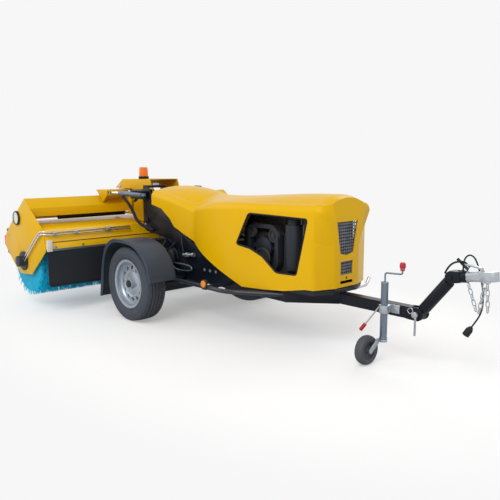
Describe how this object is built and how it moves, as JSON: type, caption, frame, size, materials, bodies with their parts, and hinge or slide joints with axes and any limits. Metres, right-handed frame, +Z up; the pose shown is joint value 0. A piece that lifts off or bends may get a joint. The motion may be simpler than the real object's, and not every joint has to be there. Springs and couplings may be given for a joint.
{
  "type": "trailer-mounted sweeper",
  "caption": "Towed road sweeper with its own engine under a tilting bonnet and a transverse roller brush in a hood on a lift arm behind the axle.",
  "frame": {"origin": "on the ground below the middle of the machine's length and width", "axes": "+X towards the coupling, +Y to the left of travel, +Z up"},
  "size_m": [4.3872, 2.45, 1.276],
  "materials": {
    "black_steel": "satin",
    "body_paint": "gloss",
    "zinc": "satin",
    "rod_chrome": "polished",
    "wheel_rim": "satin",
    "tyre": "matt",
    "rubber": "matt",
    "black_plastic": "matt",
    "bonnet_moulding": "gloss",
    "engine": "matt",
    "smoked_pane": "gloss",
    "amber_lens": "gloss",
    "reflector": "gloss",
    "lamp": "gloss",
    "bristle": "matt"
  },
  "bodies": {
    "chassis": {"axle": "black_steel", "rail_right": "black_steel", "rail_left": "black_steel", "cross_members": "black_steel", "drawbar": "black_steel", "lock_handle": "zinc", "jockey_clamp": "zinc", "jockey_tube": "zinc", "mudguard_right": "black_plastic", "mudguard_left": "black_plastic", "mudguard_stays": "black_steel", "guard_rails": "black_steel", "side_reflectors": "reflector", "belly_pan": "black_plastic", "front_bumper": "black_plastic", "engine_block": "engine", "fan_cowl": "black_plastic", "air_filter": "black_plastic", "radiator": "engine", "side_tanks": "black_plastic", "exhaust_end": "rod_chrome", "tower_plate_right": "black_steel", "tower_plate_left": "black_steel", "tower_pins": "black_steel"},
    "wheel_right": {"tyre_right": "tyre", "rim_right": "wheel_rim"},
    "wheel_left": {"tyre_left": "tyre", "rim_left": "wheel_rim"},
    "drawbar_link": {"drawbar_link": "black_steel"},
    "coupling": {"head_tube": "black_steel", "coupling": "zinc", "coupling_lever": "zinc", "safety_chains": "zinc", "lead": "rubber", "plug": "rubber"},
    "jockey_leg": {"jockey_leg": "zinc"},
    "jockey_fork": {"jockey_fork": "zinc"},
    "jockey_wheel": {"jockey_wheel": "rubber"},
    "bonnet": {"bonnet": "bonnet_moulding", "side_panes": "smoked_pane", "grilles": "black_plastic"},
    "lift_arm": {"lift_arm": "body_paint", "ram_lug": "black_steel", "beacon_base": "black_steel", "beacon_lens": "amber_lens"},
    "slew_ram_barrel": {"slew_ram_barrel": "black_steel"},
    "slew_ram_rod": {"slew_ram_rod": "rod_chrome"},
    "lift_ram_barrel": {"lift_ram_barrel": "black_steel"},
    "lift_ram_rod": {"lift_ram_rod": "rod_chrome"},
    "carriage": {"carriage": "body_paint"},
    "hood": {"hood_beam": "body_paint", "end_plates": "body_paint", "brush_cover": "body_paint", "front_flap": "rubber", "hood_lamps": "lamp", "brush_motor": "black_plastic", "brush_bearing": "black_plastic", "shift_rod": "rod_chrome"},
    "brush": {"brush_reel": "bristle"}
  },
  "joints": [
    {"name": "wheel_right_spin", "type": "hinge", "parent": "chassis", "child": "wheel_right", "pos_m": [-0.635, -0.672, 0.318], "axis": [0, 1, 0], "continuous": true},
    {"name": "wheel_left_spin", "type": "hinge", "parent": "chassis", "child": "wheel_left", "pos_m": [-0.635, 0.672, 0.318], "axis": [0, 1, 0], "continuous": true},
    {"name": "drawbar_height", "type": "hinge", "parent": "chassis", "child": "drawbar_link", "pos_m": [1.682, 0, 0.372], "axis": [0, -1, 0], "range_deg": [-35, 20]},
    {"name": "coupling_level", "type": "hinge", "parent": "drawbar_link", "child": "coupling", "pos_m": [1.903, 0, 0.647], "axis": [0, -1, 0], "range_deg": [-20, 35]},
    {"name": "jockey_height", "type": "slide", "parent": "chassis", "child": "jockey_leg", "axis": [0, 0, -1], "range_m": [0, 0.15]},
    {"name": "jockey_swivel", "type": "hinge", "parent": "jockey_leg", "child": "jockey_fork", "pos_m": [1.47, -0.092, 0.165], "axis": [0, 0, 1], "continuous": true},
    {"name": "jockey_wheel_spin", "type": "hinge", "parent": "jockey_fork", "child": "jockey_wheel", "pos_m": [1.398, -0.177, 0.1], "axis": [1, 0, 0], "continuous": true},
    {"name": "bonnet_tilt", "type": "hinge", "parent": "chassis", "child": "bonnet", "pos_m": [1.063, 0, 0.458], "axis": [0, 1, 0], "range_deg": [0, 45]},
    {"name": "arm_lift", "type": "hinge", "parent": "chassis", "child": "lift_arm", "pos_m": [-0.995, 0, 0.8], "axis": [0, 1, 0], "range_deg": [-8.4, 6]},
    {"name": "carriage_slew", "type": "hinge", "parent": "lift_arm", "child": "carriage", "pos_m": [-1.661, 0, 1.06], "axis": [0, 0, 1], "range_deg": [-9, 9]},
    {"name": "hood_shift", "type": "slide", "parent": "carriage", "child": "hood", "axis": [0, 1, 0], "range_m": [-0.35, 0.15]},
    {"name": "brush_spin", "type": "hinge", "parent": "hood", "child": "brush", "pos_m": [-1.725, 0, 0.43], "axis": [0, 1, 0], "continuous": true},
    {"name": "slew_ram_swing", "type": "hinge", "parent": "lift_arm", "child": "slew_ram_barrel", "pos_m": [-0.977, -0.355, 1.035], "axis": [0, 0, 1], "range_deg": [-6, 6]},
    {"name": "slew_ram_stroke", "type": "slide", "parent": "slew_ram_barrel", "child": "slew_ram_rod", "axis": [-0.9963, -0.0857, 0], "range_m": [-0.08, 0.08]},
    {"name": "lift_ram_swing", "type": "hinge", "parent": "chassis", "child": "lift_ram_barrel", "pos_m": [-0.713, 0, 0.534], "axis": [0, 1, 0], "range_deg": [-5, 5]},
    {"name": "lift_ram_stroke", "type": "slide", "parent": "lift_ram_barrel", "child": "lift_ram_rod", "axis": [-0.8977, 0, 0.4406], "range_m": [-0.03, 0.03]}
  ],
  "couplings": [
    {"joint": "slew_ram_swing", "follows": "carriage_slew", "ratio": -0.2462},
    {"joint": "slew_ram_stroke", "follows": "carriage_slew", "m_per_rad": -0.4103},
    {"joint": "lift_ram_swing", "follows": "arm_lift", "ratio": 0.3851},
    {"joint": "lift_ram_stroke", "follows": "arm_lift", "m_per_rad": 0.1188}
  ]
}
